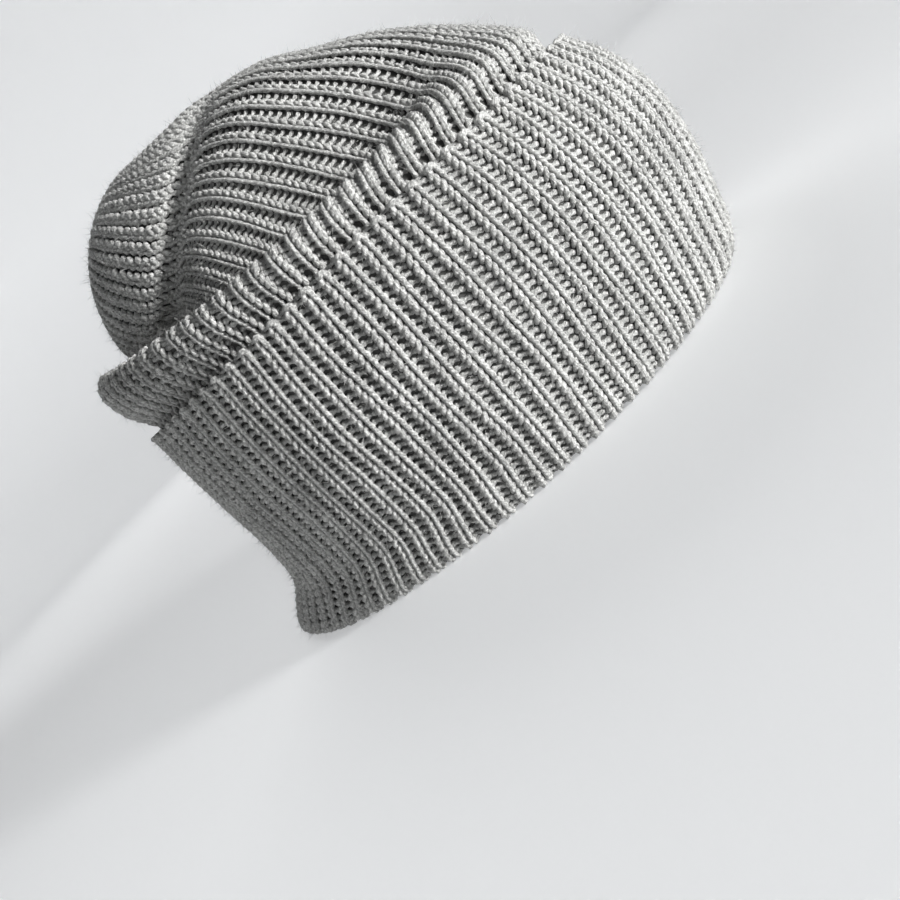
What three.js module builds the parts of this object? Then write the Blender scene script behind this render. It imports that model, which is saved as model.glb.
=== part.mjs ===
// A slouchy beanie of thick ribbed knitting with a deep turned-up cuff.
// The hat is one knitted tube, so its shape is given as rings of knitting, from the rim up to the
// gathered end. Each ring is a smooth closed loop through four points: front, near side, back and
// far side. The raised ribs cross every ring at the same angles.
// Sizes are in millimetres. +X points to the wearer's forehead, +Y to the wearer's left, +Z up.
import * as THREE from 'three';

// Ribs
const RIBS = 80;
const RIB_PHASE = 0.6;
const CUFF_RIB_DEPTH = 1.4;
const CROWN_RIB_DEPTH = 1.1;
const TAIL_RIB_DEPTH = 0.7;

// Thickness of the knitting, and the clearance between the layers
const CUFF_WALL = 3.2;
const CROWN_WALL = 2.4;
const LAYER_GAP = 0.4;
const SEAT_GAP = 0.3;

// Rim, where the knitting folds under itself and the hat stands
const RIM_ROUND = 1.9;
const RIM_FLAT = 3.1;
const RIM_THICKNESS = 2.8;

// Columns of the mesh round the hat: two for each rib where the ribs show, fewer inside
const RIB_COLUMNS = 2 * RIBS;
const PLAIN_COLUMNS = RIBS / 2;

// Rows of the mesh down the cuff's outer face
const CUFF_ROWS = 7;

// Outer face of the cuff, from its free upper edge down to the fold
// name, front x, front z, side x, side z, half width, back x, back z
const CUFF_RINGS = [
  ['free edge', 101.0, 90.0, 1.0, 90.0, 82.4, -98.9, 90.0],
  ['upper cuff', 109.5, 76.0, 1.0, 75.0, 84.3, -99.4, 75.0],
  ['brow', 114.5, 57.0, 1.0, 55.0, 85.0, -99.5, 55.0],
  ['lower brow', 113.5, 37.0, 1.0, 36.0, 84.3, -99.7, 36.0],
  ['lower cuff', 109.5, 19.0, 0.5, 18.0, 82.2, -102.5, 19.0],
  ['flare', 106.5, 8.0, -0.5, 8.0, 80.8, -110.5, 9.0],
  ['fold', 103.5, 2.5, -1.0, 2.5, 79.8, -115.3, 3.0],
];

// Outer face of the crown, from where it leaves the cuff up to the neck of the tail
const CROWN_RINGS = [
  ['out of cuff', 96.6, 92.5, 1.0, 92.5, 79.1, -96.6, 92.5],
  ['roll flank', 93.5, 98.5, 1.0, 98.0, 80.3, -100.0, 102.0],
  ['roll crest', 89.0, 104.5, 1.0, 103.0, 78.0, -101.0, 113.5],
  ['roll lip', 82.5, 111.5, 0.5, 103.5, 73.5, -94.5, 118.5],
  ['valley', 74.5, 119.5, -2.0, 98.5, 70.0, -89.5, 109.0],
  ['dome foot', 65.0, 127.5, -5.5, 98.5, 66.5, -85.5, 99.0],
  ['dome low', 52.5, 136.0, -11.0, 104.5, 65.5, -79.5, 94.5],
  ['dome middle', 37.5, 144.0, -17.0, 113.0, 63.0, -73.5, 94.0],
  ['dome high', 22.0, 151.0, -23.5, 121.0, 57.5, -68.0, 95.5],
  ['dome end', 6.5, 154.7, -30.5, 126.0, 50.0, -65.0, 98.5],
  ['crease', -6.5, 154.5, -39.5, 124.5, 42.0, -65.5, 103.0],
  ['tail neck', -12.0, 156.0, -46.5, 127.5, 44.0, -76.5, 105.0],
];

// The tail bulges like part of a ball above the crease. Its rings tighten from one spread angle to
// the next while the ball's axis swings over to the far side, where the knitting is gathered.
const TAIL = {
  centre: new THREE.Vector3(-39, 0, 116.5),
  along: 47,
  across: 44.5,
  up: 43.5,
  leanDegrees: 37,
  swing: 0.55,
  baseSpread: 74,
  spreads: [56, 38, 20, 6],
};

const wool = { color: 0xb7b7b3, roughness: 0.85, metalness: 0.0 };
const cuffMaterial = new THREE.MeshStandardMaterial(wool);
const crownMaterial = new THREE.MeshStandardMaterial(wool);

// A ring is its four points, in the order front, near side, back, far side
function ringFromRow([, frontX, frontZ, sideX, sideZ, halfWidth, backX, backZ]) {
  return [
    new THREE.Vector3(frontX, 0, frontZ),
    new THREE.Vector3(sideX, -halfWidth, sideZ),
    new THREE.Vector3(backX, 0, backZ),
    new THREE.Vector3(sideX, halfWidth, sideZ),
  ];
}

// The same ring, smaller by a distance measured level towards the middle of the hat
function insetRing([front, near, back, far], distance) {
  return [
    front.clone().add(new THREE.Vector3(-distance, 0, 0)),
    near.clone().add(new THREE.Vector3(0, distance, 0)),
    back.clone().add(new THREE.Vector3(distance, 0, 0)),
    far.clone().add(new THREE.Vector3(0, -distance, 0)),
  ];
}

function flattenRing(ring, height) {
  return ring.map((point) => new THREE.Vector3(point.x, point.y, height));
}

function tailRing(spreadDegrees) {
  const lean = THREE.MathUtils.degToRad(TAIL.leanDegrees);
  const spread = THREE.MathUtils.degToRad(spreadDegrees);
  const swung = THREE.MathUtils.degToRad(TAIL.swing * (TAIL.baseSpread - spreadDegrees));
  const alongAxis = new THREE.Vector3(Math.cos(lean), 0, Math.sin(lean));
  const upAxis = new THREE.Vector3(-Math.sin(lean), 0, Math.cos(lean));
  const farAxis = new THREE.Vector3(0, 1, 0);
  const level = (up, far) => new THREE.Vector3()
    .addScaledVector(upAxis, TAIL.up * up)
    .addScaledVector(farAxis, TAIL.across * far);
  const centre = level(Math.cos(swung), Math.sin(swung)).multiplyScalar(Math.cos(spread));
  centre.add(TAIL.centre);
  const along = alongAxis.multiplyScalar(TAIL.along * Math.sin(spread));
  const wide = level(-Math.sin(swung), Math.cos(swung)).multiplyScalar(Math.sin(spread));
  return [
    centre.clone().add(along),
    centre.clone().sub(wide),
    centre.clone().sub(along),
    centre.clone().add(wide),
  ];
}

// Point of a ring at an angle that is 0 at the front and grows round the near side
function pointOnRing([front, near, back, far], angle) {
  const middle = front.clone().add(near).add(back).add(far).multiplyScalar(0.25);
  const lengthwise = front.clone().sub(back).multiplyScalar(0.5 * Math.cos(angle));
  const crosswise = near.clone().sub(far).multiplyScalar(0.5 * Math.sin(angle));
  const saddle = front.clone().add(back).sub(near).sub(far);
  return middle.add(lengthwise).add(crosswise).addScaledVector(saddle, 0.25 * Math.cos(2 * angle));
}

// A smooth run through the rings at a place counted in rings, by the Catmull-Rom rule
function ringBetween(rings, place) {
  const last = rings.length - 1;
  const index = Math.min(Math.floor(place), last - 1);
  const t = place - index;
  return [0, 1, 2, 3].map((corner) => {
    const start = rings[index][corner];
    const end = rings[index + 1][corner];
    const before = index > 0 ? rings[index - 1][corner] : start.clone().multiplyScalar(2).sub(end);
    const after = index < last - 1 ? rings[index + 2][corner] : end.clone().multiplyScalar(2).sub(start);
    const curve = (axis) => {
      const slope = (end[axis] - before[axis]) / 2;
      const nextSlope = (after[axis] - start[axis]) / 2;
      const rise = end[axis] - start[axis];
      const bend = 3 * rise - 2 * slope - nextSlope;
      const twist = slope + nextSlope - 2 * rise;
      return start[axis] + slope * t + bend * t * t + twist * t * t * t;
    };
    return new THREE.Vector3(curve('x'), curve('y'), curve('z'));
  });
}

// Angles of evenly spaced columns, measured along the fold at the rim
function columnAngles(count) {
  const fold = ringFromRow(CUFF_RINGS[CUFF_RINGS.length - 1]);
  const steps = 1440;
  const lengths = [0];
  let previous = pointOnRing(fold, 0);
  for (let step = 1; step <= steps; step += 1) {
    const point = pointOnRing(fold, (2 * Math.PI * step) / steps);
    lengths.push(lengths[step - 1] + point.distanceTo(previous));
    previous = point;
  }
  const angles = [];
  let step = 0;
  for (let column = 0; column < count; column += 1) {
    const wanted = ((column / count + RIB_PHASE / RIBS) % 1) * lengths[steps];
    step = wanted < lengths[step] ? 0 : step;
    while (lengths[step + 1] < wanted) {
      step += 1;
    }
    const part = (wanted - lengths[step]) / (lengths[step + 1] - lengths[step]);
    angles.push((2 * Math.PI * (step + part)) / steps);
  }
  return angles;
}

const ribAngles = columnAngles(RIB_COLUMNS);
const plainAngles = columnAngles(PLAIN_COLUMNS);

// Direction away from the inside of the hat, square to the knitting. The rings run upwards.
function outwardAt(rings, place, angle) {
  const nudge = 0.01;
  const last = rings.length - 1;
  const below = pointOnRing(ringBetween(rings, Math.max(place - nudge, 0)), angle);
  const above = pointOnRing(ringBetween(rings, Math.min(place + nudge, last)), angle);
  const ring = ringBetween(rings, place);
  const before = pointOnRing(ring, angle - nudge);
  const after = pointOnRing(ring, angle + nudge);
  return above.sub(below).cross(after.sub(before)).normalize();
}

// One loop of mesh points on a ring, set inwards by a depth at each column
function loopOnRings(rings, place, angles, depthOf) {
  const ring = ringBetween(rings, place);
  return angles.map((angle, column) => {
    const depth = depthOf(column);
    const point = pointOnRing(ring, angle);
    return point.addScaledVector(outwardAt(rings, place, angle), -depth);
  });
}

function plainLoop(ring) {
  return plainAngles.map((angle) => pointOnRing(ring, angle));
}

// Grooves lie on the odd columns, between the ribs
function ribDepth(depth) {
  return (column) => (column % 2 === 1 ? depth : 0);
}

// Faces between two neighbouring loops, the finer of which has a whole multiple of the other's points
function bridgeLoops(first, second, faces) {
  const fine = first.length >= second.length ? first : second;
  const coarse = fine === first ? second : first;
  const ratio = fine.length / coarse.length;
  const add = (a, b, c) => faces.push(fine === first ? [a, b, c] : [a, c, b]);
  coarse.forEach((corner, index) => {
    const nextCorner = coarse[(index + 1) % coarse.length];
    const turn = Math.ceil(ratio / 2);
    for (let step = 0; step < ratio; step += 1) {
      const a = fine[index * ratio + step];
      const b = fine[(index * ratio + step + 1) % fine.length];
      if (step === turn && coarse.length > 1) {
        add(a, nextCorner, corner);
      }
      add(a, b, step < turn ? corner : nextCorner);
    }
    if (ratio === 1) {
      add(fine[(index + 1) % fine.length], nextCorner, corner);
    }
  });
}

// A closed skin over a run of loops. Each loop is a list of points, and a pole is a list of one.
function skin(loops, closesOnItself) {
  const faces = [];
  const count = closesOnItself ? loops.length : loops.length - 1;
  for (let index = 0; index < count; index += 1) {
    bridgeLoops(loops[index], loops[(index + 1) % loops.length], faces);
  }
  const positions = new Float32Array(faces.flat().flatMap((point) => point.toArray()));
  const geometry = new THREE.BufferGeometry();
  geometry.setAttribute('position', new THREE.BufferAttribute(positions, 3));
  geometry.computeVertexNormals();
  return geometry;
}

// The cuff: its ribbed outer face, the rolled rim with its flat foot, and its plain inner face
function makeCuff() {
  const rings = CUFF_RINGS.map(ringFromRow).reverse();
  const last = rings.length - 1;
  const fold = rings[0];
  const loops = [];
  for (let row = 0; row <= CUFF_ROWS; row += 1) {
    const place = last - (row * (last - 1)) / CUFF_ROWS;
    loops.push(loopOnRings(rings, place, ribAngles, ribDepth(CUFF_RIB_DEPTH)));
  }
  loops.push(loopOnRings(rings, 0.4, ribAngles, ribDepth(CUFF_RIB_DEPTH / 2)));
  loops.push(plainLoop(flattenRing(insetRing(fold, 0.25 * RIM_ROUND), 0.6 * RIM_ROUND)));
  loops.push(plainLoop(flattenRing(insetRing(fold, RIM_ROUND), 0)));
  loops.push(plainLoop(flattenRing(insetRing(fold, RIM_ROUND + RIM_FLAT), 0)));
  loops.push(plainLoop(flattenRing(insetRing(fold, innerDepth()), RIM_THICKNESS)));
  loops.push(plainLoop(flattenRing(insetRing(fold, CUFF_WALL), RIM_THICKNESS)));
  for (let place = 1; place <= last; place += 1) {
    loops.push(plainLoop(insetRing(rings[place], CUFF_WALL)));
  }
  return new THREE.Mesh(skin(loops, true), cuffMaterial);
}

// How far inside the cuff's outer face the hollow for the head begins
function innerDepth() {
  return CUFF_WALL + LAYER_GAP + CROWN_WALL;
}

// The crown: a plain layer that runs up behind the cuff, then the ribbed roll, dome and tail
function makeCrown() {
  const cuffRings = CUFF_RINGS.map(ringFromRow).reverse();
  const fold = flattenRing(cuffRings[0], RIM_THICKNESS + SEAT_GAP);
  const behindCuff = [fold, ...cuffRings.slice(1)];
  const lining = behindCuff.map((ring) => insetRing(ring, CUFF_WALL + LAYER_GAP));
  const shown = CROWN_RINGS.map(ringFromRow).concat(TAIL.spreads.map(tailRing));
  const rings = lining.concat(shown);
  const last = rings.length - 1;
  const tailStart = last - TAIL.spreads.length;
  const ribDepthAt = (place) => (place < tailStart ? CROWN_RIB_DEPTH : TAIL_RIB_DEPTH);

  const outer = [];
  for (let place = 0; place <= last; place += 1) {
    if (place < lining.length) {
      outer.push(plainLoop(rings[place]));
    } else {
      const depth = place === last ? 0 : ribDepthAt(place);
      outer.push(loopOnRings(rings, place, ribAngles, ribDepth(depth)));
    }
  }
  const inner = [];
  for (let place = 0; place <= last; place += 1) {
    if (place < lining.length) {
      inner.push(plainLoop(insetRing(rings[place], CROWN_WALL)));
    } else {
      inner.push(loopOnRings(rings, place, plainAngles, () => CROWN_WALL));
    }
  }
  const outerPole = [middleOf(outer[last])];
  const innerPole = [middleOf(inner[last])];
  const loops = [outerPole, ...outer.reverse(), ...inner, innerPole];
  return new THREE.Mesh(skin(loops, false), crownMaterial);
}

function middleOf(loop) {
  const sum = loop.reduce((total, point) => total.add(point), new THREE.Vector3());
  return sum.multiplyScalar(1 / loop.length);
}

const beanie = new THREE.Group();
const cuff = makeCuff();
cuff.name = 'cuff';
const crown = makeCrown();
crown.name = 'crown';
beanie.add(cuff, crown);

export default beanie;
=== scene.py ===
import math

import bpy
import numpy as np
from bpy.props import FloatProperty, FloatVectorProperty, IntProperty, PointerProperty
from mathutils import Matrix, Vector


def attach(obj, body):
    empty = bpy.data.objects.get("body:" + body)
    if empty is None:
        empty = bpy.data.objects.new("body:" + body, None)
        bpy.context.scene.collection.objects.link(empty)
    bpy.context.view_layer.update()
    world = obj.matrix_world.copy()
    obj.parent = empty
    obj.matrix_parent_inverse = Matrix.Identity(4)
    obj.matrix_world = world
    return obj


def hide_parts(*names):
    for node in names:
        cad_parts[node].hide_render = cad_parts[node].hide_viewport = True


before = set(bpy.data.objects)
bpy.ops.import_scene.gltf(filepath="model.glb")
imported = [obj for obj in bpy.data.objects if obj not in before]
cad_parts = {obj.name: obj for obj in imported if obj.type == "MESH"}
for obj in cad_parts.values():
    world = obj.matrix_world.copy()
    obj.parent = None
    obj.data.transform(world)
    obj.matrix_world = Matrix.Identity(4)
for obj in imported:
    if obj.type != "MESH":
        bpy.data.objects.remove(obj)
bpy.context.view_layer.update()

bl_info = {
    "name": "Ribbed beanie",
    "version": (1, 0, 0),
    "blender": (4, 5, 0),
    "location": "3D View > Sidebar > Beanie",
    "description": "Builds a slouchy ribbed beanie stitch by stitch",
    "category": "Add Mesh",
}

MM = 0.001

# Outer face of the cuff, from its free upper edge down to the fold, as in the solids
# name, front x, front z, side x, side z, half width, back x, back z, in millimetres
# FOLD is the place of the fold among them
CUFF_RINGS = [
    ("free edge", 101.0, 90.0, 1.0, 90.0, 82.4, -98.9, 90.0),
    ("upper cuff", 109.5, 76.0, 1.0, 75.0, 84.3, -99.4, 75.0),
    ("brow", 114.5, 57.0, 1.0, 55.0, 85.0, -99.5, 55.0),
    ("lower brow", 113.5, 37.0, 1.0, 36.0, 84.3, -99.7, 36.0),
    ("lower cuff", 109.5, 19.0, 0.5, 18.0, 82.2, -102.5, 19.0),
    ("flare", 106.5, 8.0, -0.5, 8.0, 80.8, -110.5, 9.0),
    ("fold", 103.5, 2.5, -1.0, 2.5, 79.8, -115.3, 3.0),
    ("under the fold", 101.6, 0.0, -1.0, 0.0, 77.9, -113.4, 0.0),
    ("end of the foot", 98.6, 0.0, -1.0, 0.0, 74.9, -110.4, 0.0),
]
FOLD = 6

# Outer face of the crown, from where it leaves the cuff up to the neck of the tail
CROWN_RINGS = [
    ("behind the cuff", 95.4, 84.0, 1.0, 84.0, 76.8, -93.3, 84.0),
    ("out of cuff", 94.6, 91.0, 1.0, 91.0, 76.6, -94.3, 91.0),
    ("roll flank", 93.5, 98.5, 1.0, 98.0, 80.3, -100.0, 102.0),
    ("roll crest", 89.0, 104.5, 1.0, 103.0, 78.0, -101.0, 113.5),
    ("roll lip", 82.5, 111.5, 0.5, 103.5, 73.5, -94.5, 118.5),
    ("valley", 74.5, 119.5, -2.0, 98.5, 70.0, -89.5, 109.0),
    ("dome foot", 65.0, 127.5, -5.5, 98.5, 66.5, -85.5, 99.0),
    ("dome low", 52.5, 136.0, -11.0, 104.5, 65.5, -79.5, 94.5),
    ("dome middle", 37.5, 144.0, -17.0, 113.0, 63.0, -73.5, 94.0),
    ("dome high", 25.0, 151.3, -23.5, 121.0, 59.0, -68.0, 95.5),
    ("dome end", 13.0, 155.3, -30.5, 126.0, 51.8, -65.0, 98.5),
    ("crease", 3.0, 157.6, -38.5, 126.0, 43.6, -65.5, 103.0),
    ("tail neck", -6.5, 159.4, -46.0, 128.5, 44.6, -76.5, 105.0),
]

# The tail is part of a ball whose axis swings to the far side as its rings tighten
# Lengths in millimetres, angles in degrees
TAIL_CENTRE = (-39.0, 0.0, 116.5)
TAIL_ALONG = 47.0
TAIL_ACROSS = 43.5
TAIL_UP = 43.5
TAIL_LEAN = 37.0
TAIL_SWING = 0.55
TAIL_BASE_SPREAD = 74.0
TAIL_SPREADS = (56.0, 38.0, 20.0, 2.0)

# The crown's ribs fan out on the near side and crowd on the far side, more and more towards the tail
# Places are counted in rings, and the middle is a share of the way round
FAN_START = 1.2
FAN_END = 11.7
FAN_STRENGTH = 0.66
FAN_MIDDLE = 0.28
FAN_EASED_FROM = 13.6

# Beyond the valley every other rib of the far side has been knitted together with its neighbour, and
# near the tip every other rib all round. The last value is a share of the way round from the fan's middle
VALLEY_PLACE = 5.4
GATHER_PLACE = 14.2
NARROWED_FROM = 0.3

# Over the crease the columns close up and their beads swell, counted in rings
TAIL_FROM = 10.0
TAIL_BLEND = 1.4

# Layers of the knitting, in metres
CUFF_WALL = 0.0032
CROWN_WALL = 0.0024
LAYER_GAP = 0.0004
SEAT_HEIGHT = 0.0031
FOOT_HEIGHT = 0.0028
FOOT_EDGE = 0.0012
GROUND_DEPTH = 0.0015
CUFF_GROOVE = 0.0011
CROWN_GROOVE = 0.0009
TAIL_SINK = 0.0004
INSIDE_GAP = 0.0003
INSIDE_RIDGE = 0.0004

# The ground has a few columns of points to each rib, and the cuff's grooves fade out over its last rows
GROUND_COLUMNS = 3
FADE_ROWS = 3

# Behind the cuff the crown's ground follows the cuff's rings, down from one place and up inside to another
BEHIND_FROM = 1.7
INSIDE_TO = 1.2

# Where the cuff's rows end, and between which places the crown's rows grow taller, counted in rings
CUFF_END = 7.35
TALL_ROW_PLACES = (9.5, 12.0)

# Distance from the middle of a knit column to either leg, in metres, at places counted in rings
CUFF_LEGS = ((0.0, 1.0), (0.00124, 0.00124))
CROWN_LEGS = ((4.0, 6.0, 10.0, 12.0), (0.00118, 0.00095, 0.00095, 0.0013))

# One bead of a chain: along as a share of its length, sunk under the surface in metres, share of the radius
# Its sizes are for a leg at the usual distance, and its length is in rows
BEAD_STATIONS = [
    (-0.5, 0.0013, 0.55),
    (-0.2, 0.00016, 0.98),
    (0.16, 0.0, 1.05),
    (0.5, 0.0011, 0.62),
]
USUAL_LEG = 0.00118
BEAD_RADIUS = 0.00094
BEAD_SLANT = 0.0021
BEAD_ROWS = 1.44
BEAD_TIP = 0.00045

# One purl bar: along as a share of its length, depth under the surface and radius in metres
# It reaches over the groove's edges by the overlap in metres, falls by a share of a row, and has its full
# size where the groove is wide
BAR_STATIONS = [
    (0.0, 0.002, 0.0006),
    (0.24, 0.00186, 0.00112),
    (0.5, 0.0024, 0.00068),
    (0.76, 0.0022, 0.00106),
    (1.0, 0.0027, 0.0005),
]
BAR_OVERLAP = 0.0015
BAR_FALL = 0.42
BAR_TIP = 0.0003
FULL_GROOVE = 0.003

# Where the knitting is tighter than this, a bead or bar is left out: height of its row, width of its rib
# or groove, in metres
BEAD_ROOM = (0.0008, 0.0007)
BAR_ROOM = (0.001, 0.0003)

# A cast-on hook: across in ribs, along in rows, depth and radius in millimetres
HOOK_STATIONS = [
    (-0.2, 1.6, 1.0, 0.76),
    (-0.2, 0.9, 0.92, 0.8),
    (-0.195, 0.2, 0.8, 0.86),
    (-0.17, -0.35, 0.66, 0.92),
    (-0.115, -0.8, 0.56, 0.98),
    (-0.03, -1.0, 0.6, 1.0),
    (0.055, -0.9, 0.8, 0.98),
    (0.115, -0.5, 1.2, 0.94),
    (0.135, 0.0, 1.7, 0.86),
    (0.13, 0.5, 2.2, 0.7),
]
LINK_RADIUS = 0.00068
LINK_DEPTH = 0.0026
LINK_SAG = 0.0003

# Length of a cord's pointed end, in metres
CORD_TIP = 0.0004

# Loose fibres, in metres
FIBRE_STEP = 0.0007
LONGEST_FIBRE = 0.0055
FIBRE_RADIUS = 0.00006
FIBRE_ROOT = 0.0006
FIBRE_LOWEST = 0.0002

# The floor is level out to one radius and rises as a quarter of a round to the wall, in metres
FLOOR_HUB = 0.02
FLOOR_START = 0.3
FLOOR_RADIUS = 2.0
FLOOR_BEND = 0.8
WALL_HEIGHT = 1.5
FLOOR_COLUMNS = 96

# Places and sizes of the lights, place of the bright pool on the floor and of the point the camera
# looks at, in metres
KEY_PLACE = (1.6, -0.96, 0.13)
KEY_SIZE = 0.4
SIDE_PLACE = (-0.9, -1.0, 0.3)
SIDE_SIZE = 0.6
FILL_PLACE = (-0.3, 1.4, 1.3)
FILL_SIZE = 1.2
LIGHT_AIM = (0.0, 0.0, 0.09)
POOL_PLACE = (-0.2, -0.5, 0.0)
CAMERA_TARGET = (-0.02615, 0.0, 0.00941)
CAMERA_DISTANCE = 0.33998


class BeanieSettings(bpy.types.PropertyGroup):
    """Sizes and colours of the knitting."""

    ribs: IntProperty(name="Ribs", description="Raised ribs round the hat", default=80, min=8)
    rib_phase: FloatProperty(
        name="First rib",
        description="Place of the first rib, counted in ribs from the front",
        default=0.75,
    )
    row_height: FloatProperty(
        name="Row height", description="Height of one row of stitches", default=0.00262, unit="LENGTH"
    )
    tail_row_height: FloatProperty(
        name="Row height of the tail",
        description="Height of one row of stitches in the tail",
        default=0.0031,
        unit="LENGTH",
    )
    fibres: IntProperty(
        name="Fibres",
        description="Loose fibres on the cuff, and as many on the crown",
        default=8000,
        min=1,
    )
    wool: FloatVectorProperty(
        name="Yarn colour",
        description="Colour of the yarn",
        default=(0.47, 0.47, 0.455),
        size=3,
        subtype="COLOR",
    )
    # Painted shade: the ground's dark colour stands for the shade between the strands and inside the hat,
    # for the yarn there is as pale as the strands
    ground_painted_shade: FloatVectorProperty(
        name="Painted shade of the ground",
        description="Colour of the knitting seen between the strands",
        default=(0.075, 0.075, 0.072),
        size=3,
        subtype="COLOR",
    )


class StageSettings(bpy.types.PropertyGroup):
    """Floor, lights and camera."""

    floor: FloatVectorProperty(
        name="Floor colour",
        description="Colour of the floor",
        default=(0.78, 0.785, 0.79),
        size=3,
        subtype="COLOR",
    )
    floor_glow: FloatProperty(
        name="Floor glow",
        description="Even light given off by the floor",
        default=0.25,
    )
    key_power: FloatProperty(
        name="Key light",
        description="Strength of the key light",
        default=80.0,
        unit="POWER",
    )
    side_power: FloatProperty(
        name="Side light",
        description="Strength of the light on the near side of the back",
        default=1.0,
        unit="POWER",
    )
    fill_power: FloatProperty(
        name="Fill light",
        description="Strength of the light on the far side",
        default=11.0,
        unit="POWER",
    )
    azimuth: FloatProperty(
        name="Camera azimuth",
        description="Camera's angle round the hat",
        default=math.radians(7.21),
        subtype="ANGLE",
    )
    elevation: FloatProperty(
        name="Camera elevation",
        description="Camera's height angle",
        default=math.radians(13.67),
        subtype="ANGLE",
    )
    roll: FloatProperty(
        name="Camera roll",
        description="Turn of the picture",
        default=math.radians(-44.73),
        subtype="ANGLE",
    )
    lens: FloatProperty(
        name="Lens",
        description="Focal length in millimetres on a 36 mm frame",
        default=35.4,
    )


def four_points(rows):
    """Rings as arrays (ring, point, xyz) in metres: front, near side, back, far side."""
    rings = []
    for _name, front_x, front_z, side_x, side_z, half_width, back_x, back_z in rows:
        front = (front_x, 0, front_z)
        near = (side_x, -half_width, side_z)
        back = (back_x, 0, back_z)
        far = (side_x, half_width, side_z)
        rings.append([front, near, back, far])
    return np.array(rings, float) * MM


def tail_rings():
    """Circles on a stretched ball.

    Each circle lies at its spread angle from an axis, and the axis swings to the far side as the spread
    shrinks. A circle is centre + axis * cos(spread), with half lengths that go with sin(spread).
    """
    lean = math.radians(TAIL_LEAN)
    along_axis = np.array([math.cos(lean), 0.0, math.sin(lean)])
    up_axis = np.array([-math.sin(lean), 0.0, math.cos(lean)])
    far_axis = np.array([0.0, 1.0, 0.0])
    rings = []
    for spread_degrees in TAIL_SPREADS:
        spread = math.radians(spread_degrees)
        swung = math.radians(TAIL_SWING * (TAIL_BASE_SPREAD - spread_degrees))
        axis = TAIL_UP * math.cos(swung) * up_axis + TAIL_ACROSS * math.sin(swung) * far_axis
        across = TAIL_ACROSS * math.cos(swung) * far_axis - TAIL_UP * math.sin(swung) * up_axis
        centre = np.array(TAIL_CENTRE) + axis * math.cos(spread)
        along = TAIL_ALONG * math.sin(spread) * along_axis
        wide = across * math.sin(spread)
        rings.append([centre + along, centre - wide, centre - along, centre + wide])
    return np.array(rings) * MM


def inset_rings(rings, distance):
    """The same rings, smaller by a distance measured level towards the middle of the hat."""
    shift = np.array([(-1, 0, 0), (0, 1, 0), (1, 0, 0), (0, -1, 0)], float) * distance
    return rings + shift


def rings_at(rings, place):
    """Catmull-Rom spline through the rings at places counted in rings. The result has shape (..., 4, 3)."""
    last = len(rings) - 1
    place = np.clip(np.asarray(place, float), 0, last)
    index = np.minimum(place.astype(int), last - 1)
    t = (place - index)[..., None, None]
    start, end = rings[index], rings[index + 1]
    before = np.where((index > 0)[..., None, None], rings[np.maximum(index - 1, 0)], 2 * start - end)
    beyond = rings[np.minimum(index + 2, last)]
    after = np.where((index < last - 1)[..., None, None], beyond, 2 * end - start)
    return 0.5 * (
        2 * start
        + (end - before) * t
        + (2 * before - 5 * start + 4 * end - after) * t**2
        + (3 * start - before - 3 * end + after) * t**3
    )


def point_on(rings, place, angle):
    """Point of the ring at a place.

    point = middle + half length * cos(angle) + half width * sin(angle) + saddle * cos(2 * angle)
    """
    corners = rings_at(rings, place)
    front, near, back, far = (corners[..., index, :] for index in range(4))
    angle = np.asarray(angle, float)[..., None]
    middle = (front + near + back + far) / 4
    saddle = (front + back - near - far) / 4
    return (
        middle
        + (front - back) / 2 * np.cos(angle)
        + (near - far) / 2 * np.sin(angle)
        + saddle * np.cos(2 * angle)
    )


def unit(vectors):
    """Vectors of length 1: vector / its length."""
    return vectors / np.maximum(np.linalg.norm(vectors, axis=-1, keepdims=True), 1e-12)


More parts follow.
